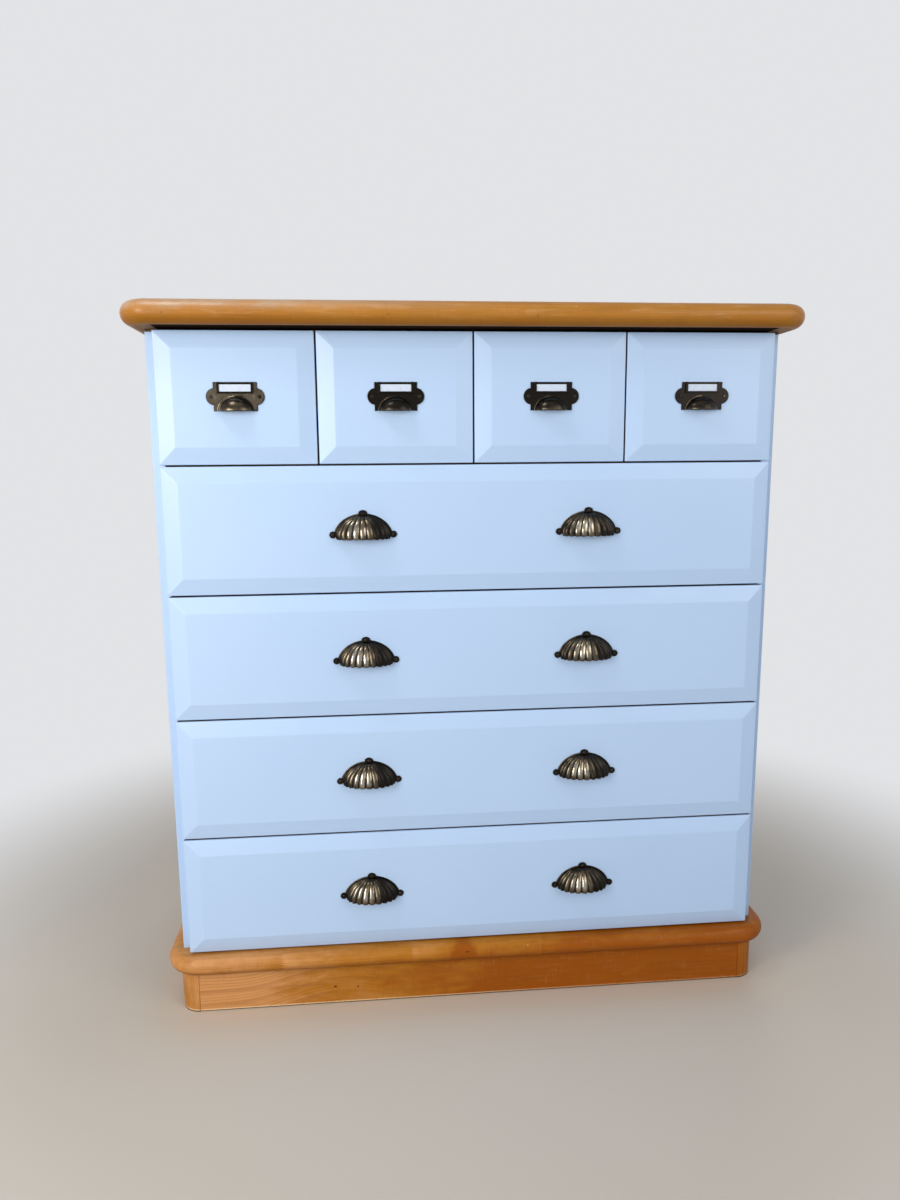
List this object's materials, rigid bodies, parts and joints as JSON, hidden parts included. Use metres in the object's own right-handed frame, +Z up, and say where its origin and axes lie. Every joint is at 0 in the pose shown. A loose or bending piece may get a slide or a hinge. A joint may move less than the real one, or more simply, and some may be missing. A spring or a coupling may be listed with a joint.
{
  "type": "chest of drawers",
  "caption": "Chest of small drawers over wide drawers on wooden runners, with bevelled painted fronts, cup pulls, a bullnosed top and a plinth.",
  "frame": {"origin": "on the floor, under the centre of the top board, which is the centre of the bounding box", "axes": "+Z up, +X to the right as seen from the front, +Y towards the back, so the drawer fronts face -Y and the drawers open along -Y"},
  "size_m": [0.965, 0.4596, 1.0605],
  "materials": {
    "varnished_wood": "satin varnish",
    "blue_painted_wood": "satin paint",
    "carcass_wood": "bare, stained",
    "drawer_wood": "bare, planed",
    "drawer_bottom_board": "thin plywood",
    "back_board": "hardboard",
    "runner_hardwood": "bare, waxed",
    "antique_brass": "darkened, rubbed",
    "screw_steel": "zinc plated",
    "label_card": "blank card"
  },
  "bodies": {
    "carcass": {"top_board": "varnished_wood", "base_board": "varnished_wood", "plinth_front_rail": "varnished_wood", "plinth_side_rails": "varnished_wood", "plinth_back_rail": "varnished_wood", "plinth_corner_blocks": "varnished_wood", "left_side_panel": "blue_painted_wood", "right_side_panel": "blue_painted_wood", "back_panel": "back_board", "small_drawer_shelf": "carcass_wood", "small_drawer_partitions": "carcass_wood", "front_rails": "carcass_wood", "wide_drawer_runners": "runner_hardwood", "runner_screws": "screw_steel", "carcass_dowels": "runner_hardwood", "back_panel_pins": "screw_steel"},
    "wide_drawer_1": {"wide_drawer_1_front": "blue_painted_wood", "wide_drawer_1_box": "drawer_wood", "wide_drawer_1_bottom": "drawer_bottom_board", "wide_drawer_1_shell_pulls": "antique_brass", "wide_drawer_1_pull_screws": "antique_brass"},
    "wide_drawer_2": {"wide_drawer_2_front": "blue_painted_wood", "wide_drawer_2_box": "drawer_wood", "wide_drawer_2_bottom": "drawer_bottom_board", "wide_drawer_2_shell_pulls": "antique_brass", "wide_drawer_2_pull_screws": "antique_brass"},
    "wide_drawer_3": {"wide_drawer_3_front": "blue_painted_wood", "wide_drawer_3_box": "drawer_wood", "wide_drawer_3_bottom": "drawer_bottom_board", "wide_drawer_3_shell_pulls": "antique_brass", "wide_drawer_3_pull_screws": "antique_brass"},
    "wide_drawer_4": {"wide_drawer_4_front": "blue_painted_wood", "wide_drawer_4_box": "drawer_wood", "wide_drawer_4_bottom": "drawer_bottom_board", "wide_drawer_4_shell_pulls": "antique_brass", "wide_drawer_4_pull_screws": "antique_brass"},
    "small_drawer_1": {"small_drawer_1_front": "blue_painted_wood", "small_drawer_1_box": "drawer_wood", "small_drawer_1_bottom": "drawer_bottom_board", "small_drawer_1_label_pull": "antique_brass", "small_drawer_1_label_card": "label_card", "small_drawer_1_pull_screws": "antique_brass"},
    "small_drawer_2": {"small_drawer_2_front": "blue_painted_wood", "small_drawer_2_box": "drawer_wood", "small_drawer_2_bottom": "drawer_bottom_board", "small_drawer_2_label_pull": "antique_brass", "small_drawer_2_label_card": "label_card", "small_drawer_2_pull_screws": "antique_brass"},
    "small_drawer_3": {"small_drawer_3_front": "blue_painted_wood", "small_drawer_3_box": "drawer_wood", "small_drawer_3_bottom": "drawer_bottom_board", "small_drawer_3_label_pull": "antique_brass", "small_drawer_3_label_card": "label_card", "small_drawer_3_pull_screws": "antique_brass"},
    "small_drawer_4": {"small_drawer_4_front": "blue_painted_wood", "small_drawer_4_box": "drawer_wood", "small_drawer_4_bottom": "drawer_bottom_board", "small_drawer_4_label_pull": "antique_brass", "small_drawer_4_label_card": "label_card", "small_drawer_4_pull_screws": "antique_brass"}
  },
  "joints": [
    {"name": "wide_drawer_1_slide", "type": "slide", "parent": "carcass", "child": "wide_drawer_1", "axis": [0, -1, 0], "range_m": [0, 0.3]},
    {"name": "wide_drawer_2_slide", "type": "slide", "parent": "carcass", "child": "wide_drawer_2", "axis": [0, -1, 0], "range_m": [0, 0.3]},
    {"name": "wide_drawer_3_slide", "type": "slide", "parent": "carcass", "child": "wide_drawer_3", "axis": [0, -1, 0], "range_m": [0, 0.3]},
    {"name": "wide_drawer_4_slide", "type": "slide", "parent": "carcass", "child": "wide_drawer_4", "axis": [0, -1, 0], "range_m": [0, 0.3]},
    {"name": "small_drawer_1_slide", "type": "slide", "parent": "carcass", "child": "small_drawer_1", "axis": [0, -1, 0], "range_m": [0, 0.3]},
    {"name": "small_drawer_2_slide", "type": "slide", "parent": "carcass", "child": "small_drawer_2", "axis": [0, -1, 0], "range_m": [0, 0.3]},
    {"name": "small_drawer_3_slide", "type": "slide", "parent": "carcass", "child": "small_drawer_3", "axis": [0, -1, 0], "range_m": [0, 0.3]},
    {"name": "small_drawer_4_slide", "type": "slide", "parent": "carcass", "child": "small_drawer_4", "axis": [0, -1, 0], "range_m": [0, 0.3]}
  ]
}
